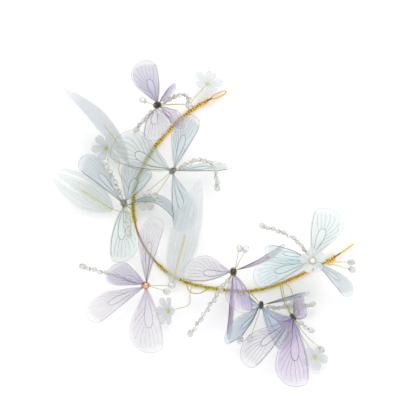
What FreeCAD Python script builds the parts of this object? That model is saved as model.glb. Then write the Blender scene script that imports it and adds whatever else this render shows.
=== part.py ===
import FreeCAD, Part
import math
import os

os.makedirs("parts", exist_ok=True)

# A butterfly head vine: a C of wrapped wire that lies flat, open towards +Y, with tie loops at its two ends.
# Eight fabric butterflies, three sheer petals and small flowers stand over it on thin wires.
# Millimetres. The origin is the centre of the head opening, on the surface that the band rests on.

# Driving dimensions
coreRadius = 0.8
wrapRadius = 1.4
coilRadius = 1.9
loopWireRadius = 0.6
loopLength = 13.0
loopWidth = 7.6
leftLoopHeading = 76
leftLoopRoll = 65
rightLoopHeading = 86
rightLoopRoll = 90
flexGap = 0.3
stemRadius = 0.4
fineWireRadius = 0.25
wingThickness = 0.4
wingRootHalf = 1.5
bodyHalfLength = 3.2
bodyEndShare = 0.45
wingRootReach = 3.7
crystalRadius = 1.6
endCrystalRadius = 2.2
crystalPitch = 4.2
crystalHalfShare = 0.72
crystalFlatShare = 0.5
petalThickness = 0.4
ribRadius = 0.35
flowerPetalThickness = 0.4
flowerCentreRadius = 1.3
flowerPetalMiddle = 0.6
flowerPetalFill = 0.94
flowerCup = 12
pearlRadius = 2.2
pearlLift = 2.4
cornerShare = 0.45

# The band's route, from the left loop round to the right loop
bandRoute = [
    (-78.3, 25, 4.6), (-79.5, 19, 3.0), (-81, 11, 1.4), (-81, -6, 1.4), (-78.5, -25, 1.4), (-73.5, -43, 1.4),
    (-64, -61, 1.4), (-51, -74, 1.4), (-34, -82.5, 1.4), (-16, -85.5, 1.4), (1, -84, 1.4), (17, -77.5, 1.4),
    (37, -61, 1.4), (52, -45, 1.4), (61, -27, 1.4), (66.5, -7, 1.4), (70.4, 9.5, 1.4), (71.8, 18.5, 2.9),
    (72.6, 25, 4.4), (72.8, 27, 4.6),
]
leftFlexRun = 4
rightFlexRun = 14
lastRun = len(bandRoute) - 2

# Each wrapped stretch: the core it is on, its first and last run, and its outer radius
wraps = {
    "left_arm": ("left", 1, leftFlexRun, wrapRadius),
    "left_half": ("middle", leftFlexRun, 7, wrapRadius),
    "right_half": ("middle", 9, rightFlexRun, wrapRadius),
    "right_arm": ("right", rightFlexRun, 15, wrapRadius),
    "end_coil": ("right", 16, 17, coilRadius),
}

# Outlines as shares of length and width: a wing goes from its root along the leading edge, round the tip and
# back, and a petal from its root to the tip on one side
wingOutline = [
    (0.48, 0.27), (0.88, 0.31), (1.0, -0.04), (0.88, -0.46), (0.70, -0.62), (0.50, -0.53), (0.24, -0.24),
]
petalOutline = [(0.24, 0.40), (0.45, 0.50), (0.76, 0.36), (0.985, 0.07)]

# Each wing: side, heading in the plan, rise above the horizontal, roll about its own length, length, width,
# bow, and 1 or -1 for the side of its straight leading edge.
# Each butterfly also has its centre, the heading and radius of its body, and the routes of its stem from the
# band, its tails and its antennae.
butterflies = {
    1: {
        "centre": (-100, -10, 26), "axis": 65, "bead": 2.8,
        "wings": [("left", 155, 42, -10, 43, 22, 3, -1), ("left", 90, 62, -70, 29, 17, 2, -1),
                  ("right", 24, 55, 55, 32, 20, 2, 1), ("right", -47, 52, 20, 40, 22, 3, -1)],
        "stem": [(-80, 11, 3.3), (-80.5, 11, 8), (-86, 8, 13), (-92, 1, 18), (-98.5, -8.5, 24.5)],
        "tails": [[(-99, -13, 26), (-97.5, -23, 25), (-96, -34, 22)],
                  [(-98.5, -8, 27), (-97, 2, 31), (-95, 10, 33), (-89, 12, 32), (-86, 8, 29)]],
        "antennae": [[(-102, -12, 27), (-109.5, -16.5, 31)]],
    },
    2: {
        "centre": (-54.5, -32, 30), "axis": -89, "bead": 2.4,
        "wings": [("left", 55, -15, -70, 42, 22, 0, -1), ("left", -30, 3, -25, 42, 22, 2, -1),
                  ("right", 117, 16, -34, 42, 23, 3, -1), ("right", -150, 10, 0, 46, 30, 3, 1)],
        "stem": [(-72.5, -45.5, 3.3), (-71.5, -45, 9), (-66, -42, 17), (-61, -36, 25), (-56, -33.5, 28.5)],
        "tails": [[(-53.5, -29, 32), (-50.5, -15, 41), (-45, -7.5, 45), (-37.5, -6, 46), (-30, -9.5, 44),
                   (-23.5, -14, 40)]],
        "antennae": [[(-53.5, -35, 30), (-48, -54.5, 27)], [(-54.5, -35, 31), (-54, -57, 33)]],
    },
    3: {
        "centre": (-58.5, -76, 19), "axis": -19, "bead": 2.5,
        "wings": [("left", 109, 16, -10, 30, 24, 3, -1), ("left", 33, 0, -62, 38, 18, 11, -1),
                  ("right", -172, 22, 45, 46, 24, 3, 1), ("right", -43, 22, 20, 44, 24, 3, -1)],
        "stem": [(-51, -74, 3.3), (-51.5, -74, 8), (-54, -75, 14), (-57.5, -75.8, 17.5)],
        "tails": [[(-61, -75, 21), (-75, -71, 32), (-92, -67, 32)]],
        "antennae": [[(-56, -76, 21), (-45, -79.5, 34), (-38, -87, 38)], [(-56, -76.5, 22), (-45, -85, 35)]],
    },
    4: {
        "centre": (-0.5, -102, 22), "axis": 46, "bead": 2.8,
        "wings": [("left", 129, 18, -44, 50, 24, 3, -1), ("left", -164, 48, -32, 38, 24, 3, -1),
                  ("right", -96, 18, 40, 48, 24, 3, 1), ("right", -32, 10, 0, 48, 26, 4, 1)],
        "stem": [(-16, -85.5, 3.3), (-15.5, -86, 8), (-11, -90, 13), (-4, -98, 18), (-1.5, -101, 19.8)],
        "tails": [[(-3, -104.5, 22), (-19, -114, 21), (-41, -130, 17)]],
        "antennae": [[(2, -100, 23), (13, -92.5, 26)], [(1.5, -99.5, 23), (12, -87, 29)]],
    },
    5: {
        "centre": (33, -44.5, 27), "axis": 143, "bead": 2.8,
        "wings": [("left", -130, 35, -30, 42, 24, 3, 1), ("left", -43, -8, -78, 48, 20, 0, -1),
                  ("right", 79, -4, 76, 40, 20, 2, 1), ("right", -23, 42, -30, 40, 22, 3, 1)],
        "stem": [(17.5, -77, 3.3), (18, -77.5, 8), (24, -80, 12), (30, -75, 15), (31, -67, 17),
                 (36, -58, 20), (35.5, -50, 23.5), (33.5, -45.5, 25.5)],
        "tails": [[(34, -48, 27), (41, -72, 25), (49, -98.5, 21)]],
        "antennae": [[(32, -41.5, 28), (22, -30, 31)],
                     [(32.2, -41.5, 29.5), (29, -34, 32), (26, -26.5, 32)]],
    },
    6: {
        "centre": (64, 7, 29), "axis": 56, "bead": 2.0,
        "wings": [("left", 128, 22, 15, 40, 26, 3, 1), ("left", -141, 24, 50, 36, 20, 2, -1),
                  ("right", 6, 25, -56, 38, 20, 3, -1), ("right", -107, 10, 30, 43, 24, 3, 1)],
        "stem": [(66.5, -7, 3.3), (66.5, -6.5, 9), (65.5, -2, 17), (64.3, 5, 26.5)],
        "tails": [[(61, 7.5, 31), (44, 7.5, 40), (33, 3, 42), (20, -6, 41)]],
        "antennae": [[(67, 9, 29), (83, 29, 31)], [(67, 8.5, 29), (78, 19, 26), (88, 25.5, 24)]],
    },
    7: {
        "centre": (65.5, -44, 19), "axis": -44, "bead": 2.0,
        "wings": [("left", -6, 6, -18, 34, 26, 2, -1), ("left", 64, 25, -80, 36, 20, 0, -1),
                  ("right", -85, 34, -55, 42, 22, 3, 1), ("right", -128, 60, 40, 26, 20, 2, 1)],
        "stem": [(52.5, -45, 3.3), (53, -44.7, 8), (58, -44, 13), (64.5, -44, 17.5)],
        "tails": [[(68, -43.5, 18.5), (77, -33, 12.5), (83, -23, 11.5), (89.5, -14, 10)]],
        "antennae": [[(66.5, -47, 18), (76, -73, 14)], [(67.5, -46.5, 18), (80, -66, 16)]],
    },
    8: {
        "centre": (87.5, -31, 30), "axis": 1, "bead": 2.0,
        "wings": [("left", 101, 104, 0, 38, 22, 2, -1), ("left", 86, 72, -20, 36, 20, 2, -1),
                  ("right", -83, 12, 15, 48, 22, 3, 1), ("right", -34, 12, 0, 50, 26, 4, 1)],
        "stem": [(62.5, -23, 3.3), (64, -24, 9), (73, -29, 18), (84, -31, 26), (86, -31, 28.5)],
        "tails": [[(90.5, -31, 30), (97, -29, 29), (104, -27, 26)]],
        "antennae": [[(90.5, -31.5, 29), (104, -32.5, 24), (120, -29.5, 20)]],
    },
}

# The three large petals: base, heading, rise, roll, length, width, bow and where the rib leaves the band
petals = {
    "upper": {"base": (-77, -55, 9), "heading": -178, "rise": 30, "roll": 48,
              "length": 90, "width": 20, "bow": 8, "anchor": (-69, -51.5, 3.6)},
    "left": {"base": (-60, -85.5, 5), "heading": -161, "rise": 10, "roll": 0,
             "length": 58, "width": 28, "bow": 4, "anchor": (-48, -75.6, 3.6)},
    "centre": {"base": (12, -87, 7), "heading": 126, "rise": 32, "roll": 0,
               "length": 98, "width": 24, "bow": 5, "anchor": (8, -81.2, 3.6)},
}
ribShare = 0.5

# The flowers: centre, the way each faces (heading and rise), radius, petals and its wire up to it
flowers = {
    "left_arm": {"centre": (-88.5, 29, 18), "heading": 120, "rise": 42, "radius": 12, "petals": 5,
                 "wire": [(-80.5, 5, 3.3), (-83, 6, 8), (-86.5, 13, 12), (-88.5, 28, 16.5)]},
    "left": {"centre": (-99, -60, 8), "heading": 180, "rise": 75, "radius": 11.5, "petals": 6,
             "wire": [(-63.2, -64, 3.3), (-66, -65.5, 4.5), (-79, -65, 5), (-86, -57.5, 5),
                      (-98, -59.5, 6.3)]},
    "inner": {"centre": (-49, -62, 5), "heading": 0, "rise": 90, "radius": 8, "petals": 5,
              "wire": [(-52.5, -70.5, 3.3), (-51, -67, 3.2), (-49, -62.5, 3.2)]},
    "low": {"centre": (25.5, -100.5, 10), "heading": -129, "rise": 36, "radius": 12, "petals": 6,
            "wire": [(21, -74.5, 3.3), (25, -80, 6), (32.5, -85.5, 8), (26.5, -98, 8), (25.7, -100, 8.3)]},
    "right": {"centre": (82, -23, 4), "heading": 30, "rise": 88, "radius": 8, "petals": 5,
              "wire": [(63, -19.7, 3.3), (69, -18.5, 3.2), (76, -21, 2.6), (81.8, -22.9, 2.3)]},
    "back": {"centre": (121, -37, 8), "heading": -30, "rise": 70, "radius": 10.5, "petals": 5,
             "wire": [(63, -21.5, 4.2), (72, -27, 8), (96, -34, 9), (120, -36.8, 6.3)]},
}
flowerOnButterfly = {"heading": 0, "rise": 90, "radius": 10.5, "petals": 5, "butterfly": 6, "above": 9.5}


def vec(point):
    return FreeCAD.Vector(*point)


def write(node, solids):
    """One STEP file per node: a compound of its closed solids."""
    for solid in solids:
        if not (solid.isValid() and solid.ShapeType == "Solid" and solid.Volume > 0):
            raise SystemExit("bad solid in " + node)
    Part.makeCompound(solids).exportStep("parts/" + node + ".step")


def one_solid(shape):
    """The single solid that a boolean leaves."""
    if len(shape.Solids) != 1:
        raise SystemExit("expected one solid, found %d" % len(shape.Solids))
    return shape.Solids[0]


def corners(route):
    """Per inner point of a route: where its tangent arc starts, its middle and where it ends."""
    points = [vec(point) for point in route]
    found = []
    for before, here, after in zip(points, points[1:], points[2:]):
        back = (before - here).normalize()
        ahead = (after - here).normalize()
        half = back.getAngle(ahead) / 2
        reach = cornerShare * min((before - here).Length, (after - here).Length)
        radius = reach * math.tan(half)
        middle = (back + ahead).normalize()
        centre = here + middle * (radius / math.sin(half))
        found.append((here + back * reach, centre - middle * radius, here + ahead * reach))
    return found


def wire_edges(route):
    """Straight runs joined by tangent arcs."""
    arcs = corners(route)
    edges = []
    start = vec(route[0])
    for first, middle, last in arcs:
        edges.append(Part.LineSegment(start, first).toShape())
        edges.append(Part.Arc(first, middle, last).toShape())
        start = last
    edges.append(Part.LineSegment(start, vec(route[-1])).toShape())
    return edges


def band_edges(first_run, last_run, gap):
    """The band's edges from the middle of one run to the middle of another, or to the band's ends."""
    arcs = corners(bandRoute)
    points = [vec(point) for point in bandRoute]
    start = points[0]
    end = points[-1]
    if first_run > 0:
        ahead = (points[first_run + 1] - points[first_run]).normalize()
        start = (points[first_run] + points[first_run + 1]) / 2 + ahead * gap / 2
    if last_run < lastRun:
        ahead = (points[last_run + 1] - points[last_run]).normalize()
        end = (points[last_run] + points[last_run + 1]) / 2 - ahead * gap / 2
    edges = []
    for first, middle, last in arcs[first_run:last_run]:
        edges.append(Part.LineSegment(start, first).toShape())
        edges.append(Part.Arc(first, middle, last).toShape())
        start = last
    edges.append(Part.LineSegment(start, end).toShape())
    return edges


def rod(edges, radius):
    """A round bar along a chain of edges."""
    path = Part.Wire(edges)
    first = edges[0]
    ahead = first.tangentAt(first.FirstParameter)
    ring = Part.Wire([Part.makeCircle(radius, first.Vertexes[0].Point, ahead)])
    return one_solid(path.makePipeShell([ring], True, True))


def wing_outline(length, width, lead):
    """A wing's outline: straight leading edge, full rounded trailing edge, narrow root."""
    shape = [(x * length, y * width) for x, y in wingOutline]
    shape = [(0.0, wingRootHalf)] + shape + [(0.0, -wingRootHalf)]
    points = [FreeCAD.Vector(x, y * lead, 0) for x, y in shape]
    edges = [Part.Arc(*points[i:i + 3]).toShape() for i in (0, 2, 4, 6)]
    edges.append(Part.LineSegment(points[-1], points[0]).toShape())
    return Part.Face(Part.Wire(edges))


def petal_outline(length, width):
    """A long petal's outline: widest before its middle, with a small round tip."""
    side = [(0.0, wingRootHalf)] + [(x * length, y * width) for x, y in petalOutline]
    shape = side + [(length, 0.0)] + [(x, -y) for x, y in reversed(side)]
    points = [FreeCAD.Vector(x, y, 0) for x, y in shape]
    edges = [Part.Arc(*points[i:i + 3]).toShape() for i in (0, 2, 4, 6, 8)]
    edges.append(Part.LineSegment(points[-1], points[0]).toShape())
    return Part.Face(Part.Wire(edges))


def bend_radius(length, bow):
    """The radius of a bend that rises by bow in the middle of a length."""
    return (length * length / 4 + bow * bow) / (2 * bow)


def bent_sheet(face, length, bow, thickness):
    """A sheet of even thickness under an outline, bowed along its length."""
    if bow == 0:
        face.translate(FreeCAD.Vector(0, 0, -thickness / 2))
        return face.extrude(FreeCAD.Vector(0, 0, thickness))
    radius = bend_radius(length, bow)
    reach = abs(bow) + thickness * 2
    face.translate(FreeCAD.Vector(0, 0, -reach))
    block = face.extrude(FreeCAD.Vector(0, 0, 2 * reach))
    wide = length
    start = FreeCAD.Vector(length / 2, -wide, bow - radius)
    along = FreeCAD.Vector(0, 1, 0)
    outer = Part.makeCylinder(radius + thickness / 2, 2 * wide, start, along)
    inner = Part.makeCylinder(radius - thickness / 2, 2 * wide, start, along)
    return one_solid(block.common(outer.cut(inner)))


def set_frame(heading, rise, roll, position):
    """A place whose X points along heading and rise, turned by roll about it."""
    turn = FreeCAD.Rotation(FreeCAD.Vector(0, 0, 1), heading)
    turn = turn.multiply(FreeCAD.Rotation(FreeCAD.Vector(0, 1, 0), -rise))
    turn = turn.multiply(FreeCAD.Rotation(FreeCAD.Vector(1, 0, 0), roll))
    return FreeCAD.Placement(vec(position), turn)


def wing(heading, rise, roll, length, width, bow, lead, centre):
    """One wing, its root just outside the butterfly's body."""
    sheet = bent_sheet(wing_outline(length, width, lead), length, bow, wingThickness)
    sheet.translate(FreeCAD.Vector(wingRootReach, 0, 0))
    return sheet.transformed(set_frame(heading, rise, roll, centre).toMatrix(), True)


def butterfly_body(centre, axis, radius):
    """A spindle bead: one arc turned about the body's length, with flat ends."""
    end = bodyEndShare * radius
    arc = Part.Arc(FreeCAD.Vector(-bodyHalfLength, end, 0), FreeCAD.Vector(0, radius, 0),
                   FreeCAD.Vector(bodyHalfLength, end, 0)).toShape()
    base = [FreeCAD.Vector(bodyHalfLength, end, 0), FreeCAD.Vector(bodyHalfLength, 0, 0),
            FreeCAD.Vector(-bodyHalfLength, 0, 0), FreeCAD.Vector(-bodyHalfLength, end, 0)]
    edges = [arc] + [Part.LineSegment(a, b).toShape() for a, b in zip(base, base[1:])]
    bead = Part.Face(Part.Wire(edges)).revolve(FreeCAD.Vector(0, 0, 0), FreeCAD.Vector(1, 0, 0), 360)
    solid = one_solid(Part.Solid(bead) if bead.ShapeType == "Shell" else bead)
    return solid.transformed(set_frame(axis, 0, 0, centre).toMatrix(), True)


def crystal(position, ahead, radius):
    """A cut bead: two short cones base to base."""
    half = crystalHalfShare * radius
    flat = crystalFlatShare * radius
    back = Part.makeCone(flat, radius, half, position - ahead * half, ahead)
    front = Part.makeCone(radius, flat, half, position, ahead)
    return one_solid(back.fuse(front).removeSplitter())


def crystal_string(edges, bar):
    """Crystals threaded along a tail wire, with a larger one at its end."""
    path = Part.Wire(edges)
    count = max(int(path.Length / crystalPitch), 2)
    stops = path.discretize(Number=count + 1)
    beads = []
    for before, here in zip(stops, stops[1:]):
        ahead = (here - before).normalize()
        last = here is stops[-1]
        radius = endCrystalRadius if last else crystalRadius
        bead = crystal(here, ahead, radius)
        beads.append(one_solid(bead.cut(bar)))
    return beads


def flower(centre, facts):
    """Flat round petals about a centre, each its own solid."""
    place = set_frame(facts["heading"], facts["rise"] - 90, 0, centre)
    radius = facts["radius"]
    petals_count = facts["petals"]
    solids = []
    reach = flowerPetalMiddle * radius
    long_half = radius - reach
    wide_half = flowerPetalFill * math.tan(math.pi / petals_count) * math.sqrt(reach ** 2 - long_half ** 2)
    for index in range(petals_count):
        ring = Part.Ellipse(FreeCAD.Vector(reach, 0, 0), long_half, wide_half).toShape()
        face = Part.Face(Part.Wire([ring]))
        sheet = face.extrude(FreeCAD.Vector(0, 0, flowerPetalThickness))
        turn = FreeCAD.Rotation(FreeCAD.Vector(0, 0, 1), index * 360.0 / petals_count)
        lift = FreeCAD.Rotation(FreeCAD.Vector(0, 1, 0), -flowerCup)
        own = FreeCAD.Placement(FreeCAD.Vector(0, 0, 0), turn.multiply(lift))
        solids.append(sheet.transformed(place.multiply(own).toMatrix(), True))
    return solids


def tie_loop(end, heading, roll):
    """A closed wire loop that carries on from the band's end."""
    half = loopWidth / 2 - loopWireRadius
    run = loopLength - loopWidth
    a = FreeCAD.Vector(half, half, 0)
    b = FreeCAD.Vector(half + run, half, 0)
    c = FreeCAD.Vector(half + run + half, 0, 0)
    d = FreeCAD.Vector(half + run, -half, 0)
    e = FreeCAD.Vector(half, -half, 0)
    f = FreeCAD.Vector(0, 0, 0)
    edges = [Part.LineSegment(a, b).toShape(), Part.Arc(b, c, d).toShape(),
             Part.LineSegment(d, e).toShape(), Part.Arc(e, f, a).toShape()]
    ring = Part.Wire([Part.makeCircle(loopWireRadius, a, FreeCAD.Vector(1, 0, 0))])
    bar = one_solid(Part.Wire(edges).makePipeShell([ring], True, True))
    return bar.transformed(set_frame(heading, 0, roll, end).toMatrix(), True)


def make_band():
    """Core wires, the wrapped stretches round them, the end coil and the tie loops."""
    spans = {
        "left": (0, leftFlexRun), "middle": (leftFlexRun, rightFlexRun), "right": (rightFlexRun, lastRun),
    }
    cores = {}
    for name, (first, last) in spans.items():
        cores[name] = rod(band_edges(first, last, flexGap), coreRadius)
        write("band_core_" + name, [cores[name]])
    for name, (core, first, last, radius) in wraps.items():
        sleeve = rod(band_edges(first, last, flexGap), radius)
        write("wire_wrap_" + name, [one_solid(sleeve.cut(cores[core]))])
    write("tie_loop_left", [tie_loop(bandRoute[0], leftLoopHeading, leftLoopRoll)])
    write("tie_loop_right", [tie_loop(bandRoute[-1], rightLoopHeading, rightLoopRoll)])


def make_butterfly(number, facts):
    """The five nodes of one butterfly."""
    name = "butterfly_%d" % number
    pairs = {"left": [], "right": []}
    for shape in facts["wings"]:
        pairs[shape[0]].append(wing(*shape[1:], facts["centre"]))
    for side, solids in pairs.items():
        write(name + "_wings_" + side, solids)
    write(name + "_body", [butterfly_body(facts["centre"], facts["axis"], facts["bead"])])
    bars = [rod(wire_edges(facts["stem"]), stemRadius)]
    beads = []
    for tail in facts["tails"]:
        edges = wire_edges(tail)
        bar = rod(edges, fineWireRadius)
        bars.append(bar)
        beads += crystal_string(edges, bar)
    for feeler in facts["antennae"]:
        edges = wire_edges(feeler)
        bar = rod(edges, fineWireRadius)
        bars.append(bar)
        ahead = (vec(feeler[-1]) - vec(feeler[-2])).normalize()
        beads.append(one_solid(crystal(vec(feeler[-1]), ahead, endCrystalRadius).cut(bar)))
    if number == flowerOnButterfly["butterfly"]:
        post = flowerOnButterfly["above"] + pearlLift - pearlRadius
        bars.append(Part.makeCylinder(fineWireRadius, post, vec(facts["centre"])))
    write(name + "_wires", bars)
    write(name + "_crystals", beads)


def make_petals():
    """The three sheer petals and, in one node, the wire ribs that hold them."""
    ribs = []
    for name, facts in petals.items():
        length = facts["length"]
        sheet = bent_sheet(petal_outline(length, facts["width"]), length, facts["bow"], petalThickness)
        place = set_frame(facts["heading"], facts["rise"], facts["roll"], facts["base"])
        write("petal_" + name, [sheet.transformed(place.toMatrix(), True)])
        radius = bend_radius(length, facts["bow"])
        height = facts["bow"] - radius
        stops = [0.0, 0.17, 0.34, ribShare]
        along = []
        for stop in stops:
            x = stop * length
            along.append(FreeCAD.Vector(x, 0, height + math.sqrt(radius ** 2 - (x - length / 2) ** 2)))
        route = [facts["anchor"]] + [tuple(place.multVec(point)) for point in along]
        ribs.append(rod(wire_edges(route), ribRadius))
    write("petal_ribs", ribs)


def make_flowers():
    """Flowers with their centre beads, by the body they stand on, and their wires."""
    arm = flowers["left_arm"]
    rest = [facts for name, facts in flowers.items() if name != "left_arm"]
    groups = {"left_arm": [arm], "middle": rest}
    for group, members in groups.items():
        blooms = []
        wires = []
        for facts in members:
            blooms += flower(facts["centre"], facts)
            blooms.append(Part.makeSphere(flowerCentreRadius, vec(facts["centre"])))
            wires.append(rod(wire_edges(facts["wire"]), fineWireRadius))
        write("flowers_" + group, blooms)
        write("flower_wires_" + group, wires)
    facts = flowerOnButterfly
    x, y, z = butterflies[facts["butterfly"]]["centre"]
    top = (x, y, z + facts["above"])
    write("flower_on_butterfly", flower(top, facts))
    write("flower_pearl", [Part.makeSphere(pearlRadius, FreeCAD.Vector(x, y, top[2] + pearlLift))])


make_band()
for number, facts in butterflies.items():
    make_butterfly(number, facts)
make_petals()
make_flowers()
print("nodes", len(os.listdir("parts")))
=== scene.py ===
import math
import bpy
import mathutils
import numpy as np
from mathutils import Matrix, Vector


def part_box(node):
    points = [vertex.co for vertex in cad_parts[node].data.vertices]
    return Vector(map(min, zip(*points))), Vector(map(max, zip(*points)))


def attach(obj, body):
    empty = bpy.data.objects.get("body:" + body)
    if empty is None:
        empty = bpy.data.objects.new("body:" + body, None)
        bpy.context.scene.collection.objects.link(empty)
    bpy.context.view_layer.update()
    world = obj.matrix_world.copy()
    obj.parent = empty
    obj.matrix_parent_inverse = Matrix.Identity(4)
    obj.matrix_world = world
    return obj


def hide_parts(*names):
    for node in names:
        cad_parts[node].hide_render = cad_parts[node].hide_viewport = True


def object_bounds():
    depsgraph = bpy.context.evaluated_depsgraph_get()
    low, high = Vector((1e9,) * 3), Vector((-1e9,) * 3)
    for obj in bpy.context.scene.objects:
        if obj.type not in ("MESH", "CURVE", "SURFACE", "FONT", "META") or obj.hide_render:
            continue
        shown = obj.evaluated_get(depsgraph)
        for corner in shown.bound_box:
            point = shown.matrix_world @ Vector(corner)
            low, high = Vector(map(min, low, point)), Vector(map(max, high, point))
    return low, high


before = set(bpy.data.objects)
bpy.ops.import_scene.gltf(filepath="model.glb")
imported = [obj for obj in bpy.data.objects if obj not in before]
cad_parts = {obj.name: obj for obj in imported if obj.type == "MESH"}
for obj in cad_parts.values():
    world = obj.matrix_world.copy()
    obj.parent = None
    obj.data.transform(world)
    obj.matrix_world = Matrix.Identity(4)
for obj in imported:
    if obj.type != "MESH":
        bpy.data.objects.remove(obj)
cadLow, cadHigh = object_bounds()
mm = 0.001
rng = np.random.default_rng(7)
print("frame loaded:", len(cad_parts), "nodes")


# Lines and surfaces, each worked out as whole arrays
def unit(v):
    return v / np.maximum(np.linalg.norm(v, axis=-1, keepdims=True), 1e-12)


# Cubic pieces through the stations, each with the slope between its neighbours
def smoothCurve(x, stations, heights):
    xs, ys = np.asarray(stations, float), np.asarray(heights, float)
    slope = np.gradient(ys, xs, axis=0)
    i = np.clip(np.searchsorted(xs, x, side="right") - 1, 0, len(xs) - 2)
    h = xs[i + 1] - xs[i]
    u = (x - xs[i]) / h
    if ys.ndim > 1:
        h, u = h[..., None], u[..., None]
    return ((1 + 2 * u) * (1 - u) ** 2 * ys[i] + u * (1 - u) ** 2 * h * slope[i]
            + u * u * (3 - 2 * u) * ys[i + 1] + u * u * (u - 1) * h * slope[i + 1])


def smoothRise(x, low, high):  # 0 below low, 1 above high, 3u^2 - 2u^3 between
    u = np.clip((x - low) / (high - low), 0, 1)
    return u * u * (3 - 2 * u)


def evenly(line, step):  # the same line with points at equal distances
    far = np.concatenate([[0], np.cumsum(np.linalg.norm(np.diff(line, axis=0), axis=1))])
    at = np.linspace(0, far[-1], max(int(far[-1] / step), 4) + 1)
    return np.stack([np.interp(at, far, line[:, k]) for k in range(3)], 1)


# At each inner point an arc tangent to its two runs, reaching a share of the shorter one
arcFacts = {"reach": 0.45, "points": 14}


def routeArcs(points):
    p = np.array(points, float) * mm
    arcs = []
    for before, here, after in zip(p, p[1:], p[2:]):
        back, ahead = unit(before - here), unit(after - here)
        half = math.acos(float(np.clip(back @ ahead, -1, 1))) / 2
        reach = arcFacts["reach"] * min(np.linalg.norm(before - here), np.linalg.norm(after - here))
        radius = reach * math.tan(half)
        centre = here + unit(back + ahead) * radius / math.sin(half)
        a, b = here + back * reach - centre, here + ahead * reach - centre
        angle = math.pi - 2 * half
        k = np.linspace(0, 1, arcFacts["points"])[:, None]
        arcs.append(centre + (np.sin((1 - k) * angle) * a + np.sin(k * angle) * b) / math.sin(angle))
    return arcs


def routeLine(points, step):
    p = np.array(points, float) * mm
    return evenly(np.concatenate([p[:1], *routeArcs(points), p[-1:]]), step)


# Two directions across a line at each point, measured from the one it turns to least
def sideways(line):
    ahead = unit(np.gradient(line, axis=0))
    steady = np.linalg.svd(ahead, full_matrices=False)[2][-1]
    across = unit(steady - (ahead @ steady)[:, None] * ahead)
    return across, np.cross(ahead, across)


# Winds round the line at a distance, one turn for each pitch
def around(line, offset, pitch, phase=0.0, perTurn=14):
    fine = evenly(line, pitch / perTurn)
    far = np.concatenate([[0], np.cumsum(np.linalg.norm(np.diff(fine, axis=0), axis=1))])
    across, up = sideways(fine)
    turn = (2 * math.pi * far / pitch + phase)[:, None]
    return fine + offset * (np.cos(turn) * across + np.sin(turn) * up)


def quadsOf(rows, cols, closed=False):
    i = np.arange(rows - 1)[:, None]
    j = np.arange(cols if closed else cols - 1)[None, :]
    k = (j + 1) % cols
    return np.stack([i * cols + j, i * cols + k, (i + 1) * cols + k, (i + 1) * cols + j], -1).reshape(-1, 4)


def tube(line, radius, sides=6):  # a ring of the given radius at each point of the line, its ends capped
    across, up = sideways(line)
    angle = np.linspace(0, 2 * math.pi, sides, endpoint=False)[None, :, None]
    ring = np.cos(angle) * across[:, None] + np.sin(angle) * up[:, None]
    size = np.broadcast_to(np.asarray(radius, float), (len(line),))[:, None, None]
    verts = (line[:, None] + size * ring).reshape(-1, 3)
    faces = quadsOf(len(line), sides, True).tolist()
    faces += [list(range(sides))[::-1], list(range(len(verts) - sides, len(verts)))]
    return {"verts": verts, "faces": faces}


def lathe(centre, axis, distances, radii, sides):  # radii turned about an axis, closed to a point at both ends
    helper = np.eye(3)[np.argmin(np.abs(axis))]
    across = unit(np.cross(axis, helper))
    up = np.cross(axis, across)
    angle = np.linspace(0, 2 * math.pi, sides, endpoint=False)[None, :, None]
    ring = np.cos(angle) * across + np.sin(angle) * up
    d, r = np.asarray(distances, float), np.asarray(radii, float)
    body = centre + d[1:-1, None, None] * axis + r[1:-1, None, None] * ring
    verts = np.concatenate([body.reshape(-1, 3), [centre + d[0] * axis], [centre + d[-1] * axis]])
    faces = quadsOf(len(d) - 2, sides, True).tolist()
    k = np.arange(sides)
    last = (len(d) - 3) * sides
    faces += np.stack([(k + 1) % sides, k, np.full(sides, len(verts) - 2)], 1).tolist()
    faces += np.stack([last + k, last + (k + 1) % sides, np.full(sides, len(verts) - 1)], 1).tolist()
    return {"verts": verts, "faces": faces}


def sheetOf(grid, maps):  # an open surface on a grid of points, with named maps of two numbers for each point
    rows, cols = grid.shape[:2]
    return {"verts": grid.reshape(-1, 3), "faces": quadsOf(rows, cols).tolist(),
            "maps": {name: values.reshape(-1, 2) for name, values in maps.items()}}


def gridArea(grid):
    a = np.cross(grid[1:, :-1] - grid[:-1, :-1], grid[:-1, 1:] - grid[:-1, :-1])
    b = np.cross(grid[1:, :-1] - grid[1:, 1:], grid[:-1, 1:] - grid[1:, 1:])
    return float((np.linalg.norm(a, axis=-1) + np.linalg.norm(b, axis=-1)).sum() / 2)


def makePiece(name, parts, material, body, slot, stands=(), smooth=True):
    verts, faces, start = [], [], 0
    for part in parts:
        verts.append(part["verts"])
        faces += [[v + start for v in face] for face in part["faces"]]
        start += len(part["verts"])
    mesh = bpy.data.meshes.new(name)
    mesh.from_pydata(np.concatenate(verts).tolist(), [], faces)
    mesh.polygons.foreach_set("use_smooth", np.full(len(mesh.polygons), smooth))
    if "maps" in parts[0]:
        corner = np.empty(len(mesh.loops), np.int32)
        mesh.loops.foreach_get("vertex_index", corner)
        for mapName in parts[0]["maps"]:
            values = np.concatenate([part["maps"][mapName] for part in parts])
            layer = mesh.uv_layers.new(name=mapName)
            layer.data.foreach_set("uv", values[corner].astype(np.float32).ravel())
    mesh.materials.append(material)
    mesh.update()
    piece = bpy.data.objects.new(name, mesh)
    bpy.context.scene.collection.objects.link(piece)
    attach(piece, body)
    if stands:
        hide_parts(*stands)
    return piece


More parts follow.
